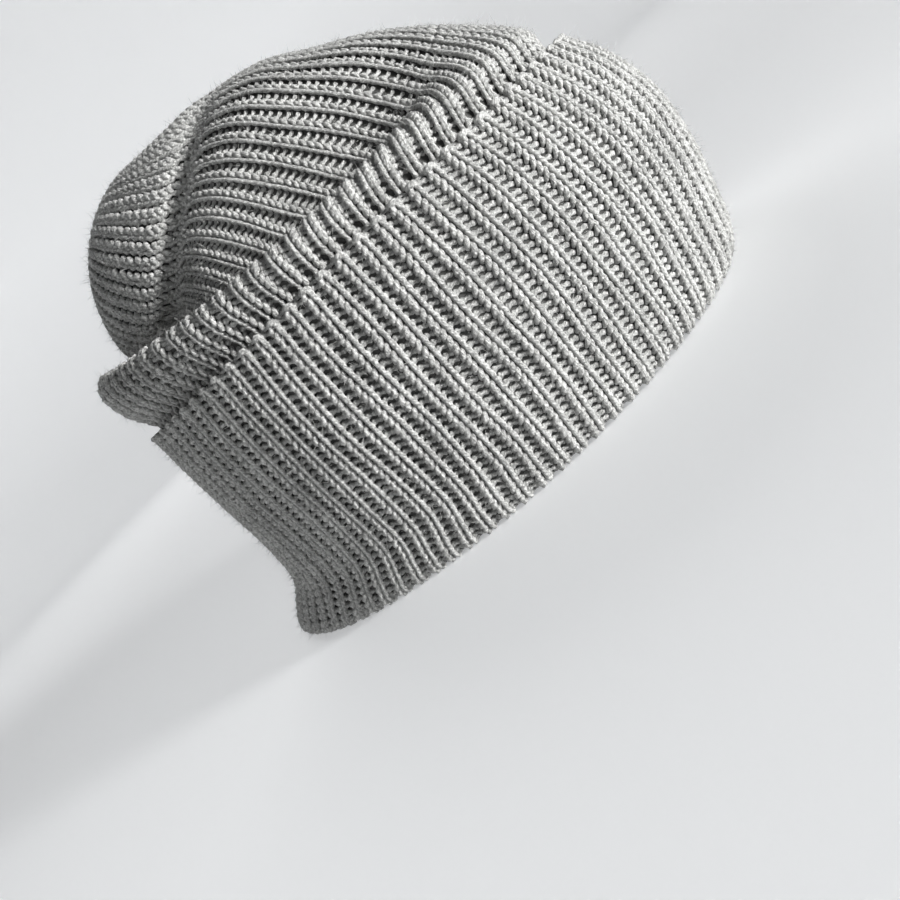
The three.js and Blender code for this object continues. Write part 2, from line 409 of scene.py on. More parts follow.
class Fabric:
    """A stretch of knitting: a smooth surface with coordinates counted in ribs and in rows of stitches."""

    def __init__(self, rings, last_place, side, bases, row_heights, legs, fans):
        """Lay out the ribs and rows.

        side is 1 where the rings run upwards over the hat, and -1 where they run downwards. bases holds
        each rib's share of the way round the fold at the rim. row_heights and legs are each a pair of
        tuples: places, and the height of a row or the distance of a leg from its column's middle there.
        fans says whether the ribs spread on the near side.
        """
        self.rings = rings
        self.side = side
        self.bases = np.append(bases, bases[0] + 1)
        self.ribs = len(bases)
        self.fans = fans
        self.legs = legs
        fold = four_points(CUFF_RINGS)[FOLD]
        self.turn = np.linspace(0, 2 * np.pi, 1441)
        loop = point_on(np.stack([fold, fold]), np.zeros_like(self.turn), self.turn)
        steps = np.linalg.norm(np.diff(loop, axis=0), axis=1)
        self.share = np.concatenate([[0], np.cumsum(steps)]) / steps.sum()
        self.places = np.linspace(0, last_place, 400)
        height = np.interp(self.places[1:], *row_heights)
        counted = np.zeros(len(self.places))
        for angle in (0.0, 0.5 * np.pi):
            path = point_on(rings, self.places, np.full(len(self.places), angle))
            steps = np.linalg.norm(np.diff(path, axis=0), axis=1) / height
            counted += 0.5 * np.concatenate([[0], np.cumsum(steps)])
        self.rows = max(int(round(counted[-1])), 1)
        self.row_of_place = counted / counted[-1] * self.rows

    def angle(self, rib, place):
        """Angle of a rib at a place.

        share = base + fan / (2 pi) * sin(2 pi * (base - middle)) is its share of the way round the fold,
        where fan grows along the crown.
        """
        rib = np.asarray(rib, float)
        whole = np.floor(rib / self.ribs)
        share = np.interp(rib - whole * self.ribs, np.arange(self.ribs + 1), self.bases) + whole
        if self.fans:
            grown = np.clip((place - FAN_START) / (FAN_END - FAN_START), 0, 1)
            eased = np.clip((place - FAN_EASED_FROM) / 2, 0, 1)
            fan = FAN_STRENGTH * grown**2 * (3 - 2 * grown) * (1 - 0.8 * eased)
            share = share + fan / (2 * np.pi) * np.sin(2 * np.pi * (share - FAN_MIDDLE))
        whole = np.floor(share)
        return np.interp(share - whole, self.share, self.turn) + whole * 2 * np.pi

    def place(self, row):
        """Place of a row, read off the counted rows."""
        return np.interp(row, self.row_of_place, self.places)

    def row(self, place):
        """Row at a place, read off the counted rows."""
        return np.interp(place, self.places, self.row_of_place)

    def surface(self, rib, row):
        """Point and outward direction of the smooth surface over arrays of ribs and rows.

        The columns sway a little by two slow waves over the ribs and rows. The direction is the cross
        product of two short steps, along and across the fabric.
        """
        place = self.place(row)
        rib = np.asarray(rib)
        sway = np.sin(1.7 * rib + 0.33 * row) + np.sin(0.9 * rib - 0.21 * row + 1.3)
        angle = self.angle(rib + 0.035 * sway, place)
        point = point_on(self.rings, place, angle)
        nudge = 0.02
        last = len(self.rings) - 1
        along = point_on(self.rings, np.minimum(place + nudge, last), angle)
        along = along - point_on(self.rings, np.maximum(place - nudge, 0), angle)
        across = point_on(self.rings, place, angle + nudge) - point_on(self.rings, place, angle - nudge)
        return point, unit(np.cross(along, across)) * self.side

    def rib_width(self, rib, row):
        """Distance between points half a rib to either side."""
        point, _ = self.surface(rib - 0.5, row)
        other, _ = self.surface(rib + 0.5, row)
        return np.linalg.norm(other - point, axis=-1)

    def row_size(self, rib, row):
        """Distance between points half a row to either side."""
        point, _ = self.surface(rib, row - 0.5)
        other, _ = self.surface(rib, row + 0.5)
        return np.linalg.norm(other - point, axis=-1)

    def leg(self, row):
        """Distance from the middle of a knit column to either leg, read off its list of places."""
        return np.interp(self.place(row), *self.legs)

    def leg_offset(self, row, width):
        """Distance from the middle of a knit column to the middle of either leg, less where ribs crowd."""
        return np.minimum(self.leg(row), 0.25 * width)

    def tail(self, row):
        """0 on the cuff and the dome, growing to 1 over the crease, in the tail."""
        return np.clip((self.place(row) - TAIL_FROM) / TAIL_BLEND, 0, 1)


def build_mesh(name, points, polygons, uvs, shade=None):
    """Object from arrays.

    polygons is a list of index arrays, each of one width, and uvs gives the places of their corners.
    """
    mesh = bpy.data.meshes.new(name)
    loops = np.concatenate([part.ravel() for part in polygons]).astype(np.int32)
    totals = np.concatenate([np.full(len(part), part.shape[1]) for part in polygons]).astype(np.int32)
    starts = np.concatenate([[0], np.cumsum(totals)[:-1]]).astype(np.int32)
    mesh.vertices.add(len(points))
    mesh.vertices.foreach_set("co", points.astype(np.float32).ravel())
    mesh.loops.add(len(loops))
    mesh.loops.foreach_set("vertex_index", loops)
    mesh.polygons.add(len(totals))
    mesh.polygons.foreach_set("loop_start", starts)
    mesh.polygons.foreach_set("loop_total", totals)
    mesh.polygons.foreach_set("use_smooth", np.ones(len(totals), bool))
    layer = mesh.uv_layers.new(name="knit")
    corners = np.concatenate([part.reshape(-1, 2) for part in uvs])
    layer.uv.foreach_set("vector", corners.astype(np.float32).ravel())
    if shade is not None:
        attribute = mesh.attributes.new("shade", "FLOAT", "POINT")
        attribute.data.foreach_set("value", shade.astype(np.float32))
    mesh.update(calc_edges=True)
    mesh.validate()
    piece = bpy.data.objects.new(name, mesh)
    bpy.context.scene.collection.objects.link(piece)
    return piece


def face_grid(rows, columns):
    """Row and column numbers of a grid's faces, as flat arrays, and the next column round."""
    i, j = np.meshgrid(np.arange(rows), np.arange(columns), indexing="ij")
    i, j = i.ravel(), j.ravel()
    return i, j, (j + 1) % columns


def strands(name, points, normals, half_wide, half_high, sides, tip, shade):
    """Closed tubes along rows of points (strand, station, xyz).

    At each station the section is an ellipse: wide across the surface, high along its normal. The
    ends close in a point a tip length beyond the last station. u counts along in millimetres, v round.
    """
    count, stations, _ = points.shape
    along = unit(np.gradient(points, axis=1))
    across = unit(np.cross(normals, along))
    upward = unit(np.cross(along, across))
    turn = 2 * np.pi * np.arange(sides) / sides
    ring = (
        points[:, :, None]
        + across[:, :, None] * (half_wide[..., None, None] * np.cos(turn)[:, None])
        + upward[:, :, None] * (half_high[..., None, None] * np.sin(turn)[:, None])
    )
    first = points[:, 0] - along[:, 0] * tip
    final = points[:, -1] + along[:, -1] * tip
    vertices = np.concatenate([ring.reshape(count, -1, 3), first[:, None], final[:, None]], axis=1)
    per = stations * sides + 2
    base = (np.arange(count) * per)[:, None, None]
    i, j, k = face_grid(stations - 1, sides)
    quads = np.stack([i * sides + j, (i + 1) * sides + j, (i + 1) * sides + k, i * sides + k], axis=-1)
    quads = (base + quads[None]).reshape(-1, 4)
    length = np.linalg.norm(np.diff(points, axis=1), axis=-1) / MM
    length = np.concatenate([np.zeros((count, 1)), np.cumsum(length, axis=1)], axis=1)
    u = np.stack([length[:, i], length[:, i + 1], length[:, i + 1], length[:, i]], axis=-1)
    v = np.stack([j, j, j + 1, j + 1], axis=-1)[None] / sides
    quad_uv = np.stack([u, np.broadcast_to(v, u.shape)], axis=-1).reshape(-1, 4, 2)
    j = np.arange(sides)
    k = (j + 1) % sides
    start_caps = np.stack([np.full(sides, per - 2), j, k], axis=-1)
    top = (stations - 1) * sides
    end_caps = np.stack([np.full(sides, per - 1), top + k, top + j], axis=-1)
    caps = np.concatenate([start_caps, end_caps])
    caps = (base + caps[None]).reshape(-1, 3)
    zero = np.zeros((count, sides))
    full = np.broadcast_to(length[:, -1:], (count, sides))
    low = np.broadcast_to(j / sides, (count, sides))
    high = np.broadcast_to((j + 1) / sides, (count, sides))
    start_uv = np.stack([zero - 0.5, low, zero, low, zero, high], -1)
    end_uv = np.stack([full + 0.5, low, full, high, full, low], -1)
    cap_uv = np.concatenate([start_uv, end_uv], axis=1).reshape(-1, 3, 2)
    colour = np.repeat(shade, per)
    return build_mesh(name, vertices.reshape(-1, 3), [quads, caps], [quad_uv, cap_uv], colour)


def closed_grid(name, loops, wrap, scale):
    """Surface over a stack of loops (loop, column, xyz), closed round the columns.

    With wrap the last loop joins the first. Otherwise both ends close on a pole. u counts ribs, v rows.
    """
    count, columns, _ = loops.shape
    rows = count if wrap else count - 1
    i, j, next_j = face_grid(rows, columns)
    next_i = (i + 1) % count
    row, next_row = i * columns, next_i * columns
    quads = np.stack([row + j, row + next_j, next_row + next_j, next_row + j], -1)
    u_scale, v_scale = scale
    u = np.stack([j, j + 1, j + 1, j], -1) * u_scale
    v = np.stack([i, i, i + 1, i + 1], -1) * v_scale
    quad_uv = np.stack([u, v], -1)
    points = loops.reshape(-1, 3)
    if wrap:
        return build_mesh(name, points, [quads], [quad_uv])
    poles = np.stack([loops[0].mean(0), loops[-1].mean(0)])
    points = np.concatenate([points, poles])
    j = np.arange(columns)
    k = (j + 1) % columns
    first = np.stack([np.full(columns, count * columns), k, j], -1)
    top = (count - 1) * columns
    final = np.stack([np.full(columns, count * columns + 1), top + j, top + k], -1)
    caps = np.concatenate([first, final])
    flat = np.zeros((len(caps), 3, 2))
    return build_mesh(name, points, [quads, caps], [quad_uv, flat])


def face_outwards(piece):
    """Turn a closed mesh so that the signed volume of its faces is positive."""
    mesh = piece.data
    points = np.zeros(len(mesh.vertices) * 3, np.float32)
    mesh.vertices.foreach_get("co", points)
    points = points.reshape(-1, 3)
    mesh.calc_loop_triangles()
    corners = np.zeros(len(mesh.loop_triangles) * 3, np.int32)
    mesh.loop_triangles.foreach_get("vertices", corners)
    a, b, c = (points[corners.reshape(-1, 3)[:, index]] for index in range(3))
    if np.einsum("ij,ij->i", a, np.cross(b, c)).sum() < 0:
        mesh.flip_normals()


def seat(piece, node, material):
    """Put a finished piece on the hat's one body, as what shows in place of a solid."""
    piece.data.materials.append(material)
    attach(piece, "root")
    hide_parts(node)


def random_shade(count, seed, spread=1.0):
    """A shade for every strand, spread evenly to the light and the dark side of 0."""
    return np.clip(np.random.default_rng(seed).normal(0, spread, count), -2, 2)


class Wiring:
    """Small helper that adds nodes to a tree and links them."""

    def __init__(self, tree):
        self.nodes = tree.nodes
        self.links = tree.links

    def feed(self, socket, value):
        """Link a socket to an output, or give it a plain value."""
        if isinstance(value, bpy.types.NodeSocket):
            self.links.new(value, socket)
        elif value is not None:
            socket.default_value = value

    def math(self, kind, *values):
        """Result of one sum, product or function of the values."""
        node = self.nodes.new("ShaderNodeMath")
        node.operation = kind
        for socket, value in zip(node.inputs, values):
            self.feed(socket, value)
        return node.outputs[0]

    def noise(self, vector, scale, detail):
        """Noise over a vector, from 0 to 1."""
        node = self.nodes.new("ShaderNodeTexNoise")
        node.inputs["Scale"].default_value = scale
        node.inputs["Detail"].default_value = detail
        self.feed(node.inputs["Vector"], vector)
        return node.outputs["Fac"]

    def mix(self, factor, low, high):
        """Colour between two: low at factor 0 and high at factor 1."""
        node = self.nodes.new("ShaderNodeMix")
        node.data_type = "RGBA"
        self.feed(node.inputs["Factor"], factor)
        for name, value in (("A", low), ("B", high)):
            socket = next(item for item in node.inputs if item.name == name and item.type == "RGBA")
            self.feed(socket, value)
        return next(item for item in node.outputs if item.type == "RGBA")


def new_group(name, inputs, outputs):
    """Empty shader group with named sockets.

    inputs are name, type and default value, and outputs are name and type.
    """
    group = bpy.data.node_groups.new(name, "ShaderNodeTree")
    for label, kind, value in inputs:
        socket = group.interface.new_socket(label, in_out="INPUT", socket_type=kind)
        if value is not None:
            socket.default_value = value
    for label, kind in outputs:
        group.interface.new_socket(label, in_out="OUTPUT", socket_type=kind)
    start = group.nodes.new("NodeGroupInput")
    end = group.nodes.new("NodeGroupOutput")
    return group, Wiring(group), start.outputs, end.inputs


def yarn_group():
    """Shader group of a plied strand.

    Its UV map counts millimetres along (u) and turns round (v). The twist is phase = v + u / lay length,
    the plies are sin(2 pi * plies * phase), and fibres are a noise drawn out along the twist.
    """
    name = "Plied yarn"
    if name in bpy.data.node_groups:
        return bpy.data.node_groups[name]
    group, wire, start, end = new_group(
        name,
        [
            ("UV", "NodeSocketVector", None),
            ("Place", "NodeSocketVector", None),
            ("Shade", "NodeSocketFloat", 0.0),
            ("Dark colour", "NodeSocketColor", (0.3, 0.3, 0.3, 1)),
            ("Light colour", "NodeSocketColor", (0.5, 0.5, 0.5, 1)),
            ("Plies", "NodeSocketFloat", 4.0),
            ("Lay length", "NodeSocketFloat", 6.0),
        ],
        [("Colour", "NodeSocketColor"), ("Height", "NodeSocketFloat")],
    )
    split = wire.nodes.new("ShaderNodeSeparateXYZ")
    wire.feed(split.inputs[0], start["UV"])
    turns = wire.math("DIVIDE", split.outputs["X"], start["Lay length"])
    phase = wire.math("MULTIPLY", wire.math("ADD", split.outputs["Y"], turns), 2 * math.pi)
    ply = wire.math("SINE", wire.math("MULTIPLY", phase, start["Plies"]))
    ply = wire.math("MULTIPLY_ADD", ply, 0.5, 0.5)
    join = wire.nodes.new("ShaderNodeCombineXYZ")
    wire.feed(join.inputs["X"], wire.math("COSINE", phase))
    wire.feed(join.inputs["Y"], wire.math("SINE", phase))
    drawn = wire.math("MULTIPLY_ADD", split.outputs["X"], 0.28, wire.math("MULTIPLY", start["Shade"], 9.0))
    wire.feed(join.inputs["Z"], drawn)
    fibre = wire.noise(join.outputs[0], 3.2, 3.0)
    cloud = wire.noise(start["Place"], 70.0, 2.0)
    grain = wire.noise(start["Place"], 2400.0, 1.0)
    fleck = wire.noise(start["Place"], 1300.0, 1.0)
    # Tone: random shades of the strands and a mottling cloud, plus painted light. The ply lines are painted
    # shade in the grooves between the plies; the fibres and flecks are partly the yarn's own speckle and
    # partly painted highlight and shade, lighter where they stand up in the bump and darker where they sink
    tone_and_painted_shade = wire.math("MULTIPLY_ADD", start["Shade"], 0.07, 0.5)
    for pattern, weight in ((ply, 0.14), (fibre, 2.6), (cloud, 0.7), (fleck, 2.4)):
        tone_and_painted_shade = wire.math("MULTIPLY_ADD", wire.math("SUBTRACT", pattern, 0.5), weight, tone_and_painted_shade)
    wire.feed(end["Colour"], wire.mix(tone_and_painted_shade, start["Dark colour"], start["Light colour"]))
    height = wire.math("MULTIPLY_ADD", fibre, 1.5, wire.math("MULTIPLY", ply, 0.3))
    height = wire.math("MULTIPLY_ADD", fleck, 0.9, height)
    wire.feed(end["Height"], wire.math("MULTIPLY_ADD", grain, 0.5, height))
    return group


def tinted(colour, factor):
    """Colour times a factor, no lighter than white, with full alpha."""
    return [min(channel * factor, 1.0) for channel in colour] + [1.0]


def knit_material(name, group, colours, finish, bump_height):
    """Material made of one of the groups.

    colours are dark and light, finish is roughness and specular level, and bump_height is the bump's
    strength and its distance in metres.
    """
    material = bpy.data.materials.new(name)
    material.use_nodes = True
    wire = Wiring(material.node_tree)
    shader = wire.nodes["Principled BSDF"]
    shader.inputs["Roughness"].default_value = finish[0]
    shader.inputs["Specular IOR Level"].default_value = finish[1]
    uv = wire.nodes.new("ShaderNodeUVMap")
    uv.uv_map = "knit"
    place = wire.nodes.new("ShaderNodeTexCoord")
    knit = wire.nodes.new("ShaderNodeGroup")
    knit.node_tree = group
    wire.feed(knit.inputs["UV"], uv.outputs[0])
    wire.feed(knit.inputs["Place"], place.outputs["Object"])
    wire.feed(knit.inputs["Dark colour"], colours[0])
    wire.feed(knit.inputs["Light colour"], colours[1])
    bump = wire.nodes.new("ShaderNodeBump")
    bump.inputs["Strength"].default_value = bump_height[0]
    bump.inputs["Distance"].default_value = bump_height[1]
    wire.feed(bump.inputs["Height"], knit.outputs["Height"])
    wire.feed(shader.inputs["Normal"], bump.outputs[0])
    wire.feed(shader.inputs["Base Color"], knit.outputs["Colour"])
    return material, wire, knit


def yarn_material(name, settings):
    """Matt plied yarn: the plies and fibres stand as a bump, and each strand has its own shade."""
    if name in bpy.data.materials:
        return bpy.data.materials[name]
    # The range from the dark to the light end carries the painted highlight and shade on plies, fibres and
    # flecks as well as the yarn's own tone
    colours = (tinted(settings.wool, 0.55), tinted(settings.wool, 1.4))
    material, wire, yarn = knit_material(name, yarn_group(), colours, (0.6, 0.4), (1.0, 0.0005))
    shader = wire.nodes["Principled BSDF"]
    shader.inputs["Sheen Weight"].default_value = 0.2
    shader.inputs["Sheen Roughness"].default_value = 0.4
    shade = wire.nodes.new("ShaderNodeAttribute")
    shade.attribute_name = "shade"
    wire.feed(yarn.inputs["Shade"], shade.outputs["Fac"])
    return material


def ground_group():
    """Shader group of the knitting under the strands.

    Its UV map counts ribs (u) and rows (v), and the rows stand up as sin(2 pi * v).
    """
    name = "Knitted ground"
    if name in bpy.data.node_groups:
        return bpy.data.node_groups[name]
    group, wire, start, end = new_group(
        name,
        [
            ("UV", "NodeSocketVector", None),
            ("Place", "NodeSocketVector", None),
            ("Dark colour", "NodeSocketColor", (0.05, 0.05, 0.05, 1)),
            ("Light colour", "NodeSocketColor", (0.1, 0.1, 0.1, 1)),
        ],
        [("Colour", "NodeSocketColor"), ("Height", "NodeSocketFloat")],
    )
    split = wire.nodes.new("ShaderNodeSeparateXYZ")
    wire.feed(split.inputs[0], start["UV"])
    wave = wire.math("SINE", wire.math("MULTIPLY", split.outputs["Y"], 2 * math.pi))
    grain = wire.noise(start["Place"], 900.0, 2.0)
    wire.feed(end["Colour"], wire.mix(grain, start["Dark colour"], start["Light colour"]))
    wire.feed(end["Height"], wire.math("MULTIPLY_ADD", wave, 0.4, grain))
    return group


def ground_material(settings):
    """Dark, dull knitting that shows only between the strands and inside the hat. Its dark colour is
    painted shade: the yarn there is as pale as the strands, and the darkness stands for the shade between
    and behind them.
    """
    name = "Knitted ground"
    if name in bpy.data.materials:
        return bpy.data.materials[name]
    # Dark and light ends of the painted shade under the strands
    colours = (tinted(settings.ground_painted_shade, 0.6), tinted(settings.ground_painted_shade, 1.3))
    material, _wire, _knit = knit_material(name, ground_group(), colours, (0.85, 0.15), (0.8, 0.0006))
    return material


def all_bases(settings):
    """Every rib's share of the way round: evenly spaced."""
    return (np.arange(settings.ribs) + settings.rib_phase) / settings.ribs


def narrowed_bases(settings):
    """The ribs that go on beyond the valley: all of the near side, and every other one of the far side."""
    bases = all_bases(settings)
    away = np.abs((bases - FAN_MIDDLE + 0.5) % 1 - 0.5)
    return bases[(away < NARROWED_FROM) | (np.arange(settings.ribs) % 2 == 0)]


def cuff_fabric(settings):
    """The cuff, from its free edge down to a little way under the fold."""
    height = ((0.0, 1.0), (settings.row_height, settings.row_height))
    return Fabric(four_points(CUFF_RINGS), CUFF_END, -1, all_bases(settings), height, CUFF_LEGS, False)


def crown_fabric(settings, bases):
    """The crown, from behind the cuff up to the tip of the tail, where the rows grow taller."""
    rings = np.concatenate([four_points(CROWN_RINGS), tail_rings()])
    height = (TALL_ROW_PLACES, (settings.row_height, settings.tail_row_height))
    return Fabric(rings, len(rings) - 1.0, 1, bases, height, CROWN_LEGS, True)


def column_grid(fabric, first, last):
    """Rib and row numbers of every stitch from one row up to another, as two flat arrays."""
    rib, row = np.meshgrid(np.arange(fabric.ribs), np.arange(first, last), indexing="ij")
    return rib.ravel().astype(float), row.ravel().astype(float)


def laid_path(fabric, rib, row, across, along, depth):
    """Points of strands laid on the fabric.

    across and along give each station's place from the stitch's middle, in ribs and in rows, and depth
    its distance under the surface in metres. They have one value for each strand and station.
    """
    shape = np.broadcast_shapes(rib[:, None].shape, np.shape(across), np.shape(along), np.shape(depth))
    rib_at = np.broadcast_to(rib[:, None] + across, shape)
    row_at = np.broadcast_to(row[:, None] + along, shape)
    point, normal = fabric.surface(rib_at, row_at)
    return point - normal * np.broadcast_to(depth, shape)[..., None], normal


def lay_cords(name, fabric, rows, side, lumpiness, seed):
    """A cord along every column: the legs on one side of the stitches, which run almost straight.

    The cord swells and steps outwards once in every row, where one leg slips out of the next, and lies
    a little lower than the chain on the column's other side. lumpiness adds to the swelling.
    """
    first, last = rows
    ribs = fabric.ribs
    steps = 2 * (last - first) + 1
    along = first + 0.5 * np.arange(steps)[None]
    rib = np.arange(ribs, dtype=float)
    swell = 0.5 - 0.5 * (-1.0) ** np.arange(steps)[None]
    row = np.broadcast_to(along, (ribs, steps))
    width = fabric.rib_width(rib[:, None], row)
    offset = fabric.leg_offset(row, width)
    noise = np.random.default_rng(seed).normal(0, 1, (2, ribs, steps))
    tail = fabric.tail(row)
    lumps = 0.16 + lumpiness * (0.1 + 0.2 * tail)
    across = side * (offset * 1.27 / width + 0.022 * (swell - 0.5)) + 0.008 * noise[0]
    half_wide = offset * (0.7 - 0.5 * lumps + lumps * swell + 0.04 * noise[1])
    depth = half_wide + offset * (0.23 + 1.1 * lumps * (0.5 - swell) + 0.4 * tail)
    point, normal = laid_path(fabric, rib, np.zeros(ribs), across, along, depth)
    return strands(name, point, normal, half_wide, half_wide, 6, CORD_TIP, random_shade(ribs, seed, 0.5))


def lay_chain(name, fabric, rows, side, seed):
    """A chain along every column: slanting beads, one to a row, each tucked under the one before it.

    across = side * (offset + slant * t) and along = length * t, with t from -0.5 to 0.5. The ends sink
    under the surface, and the tail's beads are fuller and lie nearer the column's middle.
    """
    rib, row = column_grid(fabric, *rows)
    width = fabric.rib_width(rib, row + 0.5)
    height = fabric.row_size(rib, row + 0.5)
    kept = (height > BEAD_ROOM[0]) & (width > BEAD_ROOM[1])
    rib, row, width = rib[kept], row[kept], width[kept]
    offset = fabric.leg_offset(row, width)
    tail = fabric.tail(row)
    thick = offset / USUAL_LEG * (1 + 0.16 * tail)
    noise = np.random.default_rng(seed).normal(0, 1, (4, len(rib)))
    t, sunk, swell = np.array(BEAD_STATIONS).T[:, None]
    slant = (BEAD_SLANT * thick / width * (1 + 0.15 * tail))[:, None] * (1 + 0.1 * noise[3][:, None])
    middle = (offset * (0.58 - 0.22 * tail) / width)[:, None]
    across = side * (middle + slant * t) + 0.01 * noise[0][:, None]
    along = 0.5 + (BEAD_ROWS + 0.12 * tail[:, None]) * t + 0.04 * noise[1][:, None]
    radius = (BEAD_RADIUS * thick * (1 + 0.04 * noise[2]))[:, None]
    depth = radius + sunk * thick[:, None] - 0.00004 * noise[3][:, None]
    size = radius * swell
    point, normal = laid_path(fabric, rib, row, across, along, depth)
    return strands(name, point, normal, size, size * 0.98, 6, BEAD_TIP, random_shade(len(rib), seed + 1))


def lay_bars(name, fabric, rows, fall, plump, seed):
    """Purl bars in every groove: each slants down to the right, has two lobes and sinks at its far end.

    fall is 1 where rows are counted downwards and -1 where they are counted upwards. plump scales the
    lobes.
    """
    rib, row = column_grid(fabric, *rows)
    width = fabric.rib_width(rib - 0.5, row + 0.5)
    height = fabric.row_size(rib - 0.5, row + 0.5)
    groove = width - 4 * fabric.leg_offset(row, width)
    kept = (height > BAR_ROOM[0]) & (groove > BAR_ROOM[1])
    rib, row, width, groove = rib[kept], row[kept], width[kept], groove[kept]
    noise = np.random.default_rng(seed).normal(0, 1, (3, len(rib)))
    t, lie, lobes = np.array(BAR_STATIONS).T[:, None]
    reach = ((groove + BAR_OVERLAP) / width)[:, None]
    across = -0.5 + reach * (0.5 - t) + 0.008 * noise[0][:, None]
    along = 0.5 + fall * BAR_FALL * (t - 0.5) + 0.04 * noise[1][:, None]
    depth = lie + 0.00006 * noise[2][:, None]
    slim = np.clip(groove / FULL_GROOVE, 0.4, 1.0)[:, None]
    size = lobes * (0.8 + 0.2 * slim) * plump
    point, normal = laid_path(fabric, rib, row, across, along, depth)
    return strands(name, point, normal, size, size * 0.95, 5, BAR_TIP, random_shade(len(rib), seed + 1))


def lay_fuzz(name, fabric, rows, count, seed):
    """Loose fibres: needles with a triangle for a root, each leaning off the surface its own way.

    tip = root + (normal * cos(lean) + side * sin(lean)) * length, and never under the floor.
    """
    random = np.random.default_rng(seed)
    rib = random.uniform(0, fabric.ribs, count)
    row = random.uniform(rows[0] + 0.3, rows[1] - 0.5, count)
    point, normal = fabric.surface(rib, row)
    side = unit(np.cross(normal, random.normal(0, 1, (count, 3))))
    other = np.cross(normal, side)
    lean = random.uniform(0.25, 1.3, count)[:, None]
    along = normal * np.cos(lean) + side * np.sin(lean)
    length = np.minimum(random.gamma(4.0, FIBRE_STEP, count), LONGEST_FIBRE)[:, None]
    root = point - normal * FIBRE_ROOT
    back = unit(np.cross(along, other))
    corners = []
    for turn in (0.0, math.radians(120), math.radians(240)):
        corners.append(root + FIBRE_RADIUS * (other * math.cos(turn) + back * math.sin(turn)))
    tip = root + along * (length + FIBRE_ROOT)
    tip[:, 2] = np.maximum(tip[:, 2], FIBRE_LOWEST)
    points = np.stack(corners + [tip], axis=1)
    faces = np.array([(0, 1, 3), (1, 2, 3), (2, 0, 3), (0, 2, 1)])
    faces = (4 * np.arange(count)[:, None, None] + faces).reshape(-1, 3)
    shade = np.repeat(random_shade(count, seed + 1), 4)
    piece = build_mesh(name, points.reshape(-1, 3), [faces], [np.zeros((len(faces), 3, 2))], shade)
    face_outwards(piece)
    return piece


class BEANIE_OT_cuff_ground(bpy.types.Operator):
    """Closed ribbed layer under the cuff's strands, with the rolled rim and its foot."""

    bl_idname = "beanie.cuff_ground"
    bl_label = "Cuff ground"

    def execute(self, context):
        settings = context.scene.beanie
        fabric = cuff_fabric(settings)
        columns = GROUND_COLUMNS * settings.ribs
        rib = np.arange(columns) / GROUND_COLUMNS
        ridge = 0.5 + 0.5 * np.cos(2 * np.pi * rib)
        loops = []
        for row in range(fabric.rows + 1):
            point, normal = fabric.surface(rib, np.full(columns, float(row)))
            under = np.clip((fabric.rows - row) / FADE_ROWS, 0, 1)
            depth = GROUND_DEPTH + CUFF_GROOVE * (1 - ridge) * under
            loops.append(point - normal * depth[:, None])
        angle = fabric.angle(rib, 0.0)
        rings = four_points(CUFF_RINGS)
        wall = inset_rings(rings[: FOLD + 1], CUFF_WALL)
        inner = inset_rings(rings[FOLD], CUFF_WALL + LAYER_GAP + CROWN_WALL)
        for height, ring in ((FOOT_EDGE, inner), (FOOT_HEIGHT, inner), (FOOT_HEIGHT, wall[FOLD])):
            loop = point_on(np.stack([ring, ring]), np.zeros(columns), angle)
            loop[:, 2] = height
            loops.append(loop)
        for place in np.linspace(FOLD - 1, 0, 11):
            loops.append(point_on(wall, np.full(columns, place), angle))
        piece = closed_grid("cuff_ground", np.array(loops), True, (1 / GROUND_COLUMNS, 1.0))
        face_outwards(piece)
        # The ground's dark colour is painted shade between the strands
        seat(piece, "cuff", ground_material(settings))
        return {"FINISHED"}


class BEANIE_OT_crown_ground(bpy.types.Operator):
    """Closed layer under the crown's strands, with the layer behind the cuff and the inside of the hat."""

    bl_idname = "beanie.crown_ground"
    bl_label = "Crown ground"

    def execute(self, context):
        settings = context.scene.beanie
        bases = all_bases(settings)
        crown = crown_fabric(settings, bases)
        narrowed = narrowed_bases(settings)
        columns = GROUND_COLUMNS * settings.ribs
        rib = np.arange(columns) / GROUND_COLUMNS
        base = np.interp(rib, np.arange(settings.ribs + 1), np.append(bases, bases[0] + 1))
        spread = np.concatenate([narrowed - 1, narrowed, narrowed + 1])
        counted = np.arange(len(spread)) * 1.0
        ridge = 0.5 + 0.5 * np.cos(2 * np.pi * rib)
        narrow_ridge = 0.5 + 0.5 * np.cos(2 * np.pi * np.interp(base, spread, counted))
        valley_row = crown.row(VALLEY_PLACE)
        angle = crown.angle(rib, 0.0)
        behind = inset_rings(four_points(CUFF_RINGS)[: FOLD + 1], CUFF_WALL + LAYER_GAP)
        behind[FOLD, :, 2] = SEAT_HEIGHT
        loops = []
        for row in np.arange(crown.rows, 0, -1):
            point, normal = crown.surface(rib, np.full(columns, float(row)))
            shape = ridge if row < valley_row else narrow_ridge
            sunk = GROUND_DEPTH + TAIL_SINK * float(crown.tail(row))
            loops.append(point - normal * (sunk + CROWN_GROOVE * (1 - shape))[:, None])
        for place in np.linspace(BEHIND_FROM, FOLD, 8):
            loops.append(point_on(behind, np.full(columns, place), angle))
        inside = inset_rings(behind, CROWN_WALL)
        for place in np.linspace(FOLD, INSIDE_TO, 20):
            loops.append(point_on(inside, np.full(columns, place), angle))
        for row in np.arange(1, crown.rows + 1, 2):
            point, normal = crown.surface(rib, np.full(columns, float(row)))
            depth = CROWN_WALL + INSIDE_GAP + INSIDE_RIDGE * ridge
            loops.append(point - normal * depth[:, None])
        piece = closed_grid("crown_ground", np.array(loops), False, (1 / GROUND_COLUMNS, 1.0))
        face_outwards(piece)
        # The ground's dark colour is painted shade between the strands and inside the hat
        seat(piece, "crown", ground_material(settings))
        return {"FINISHED"}


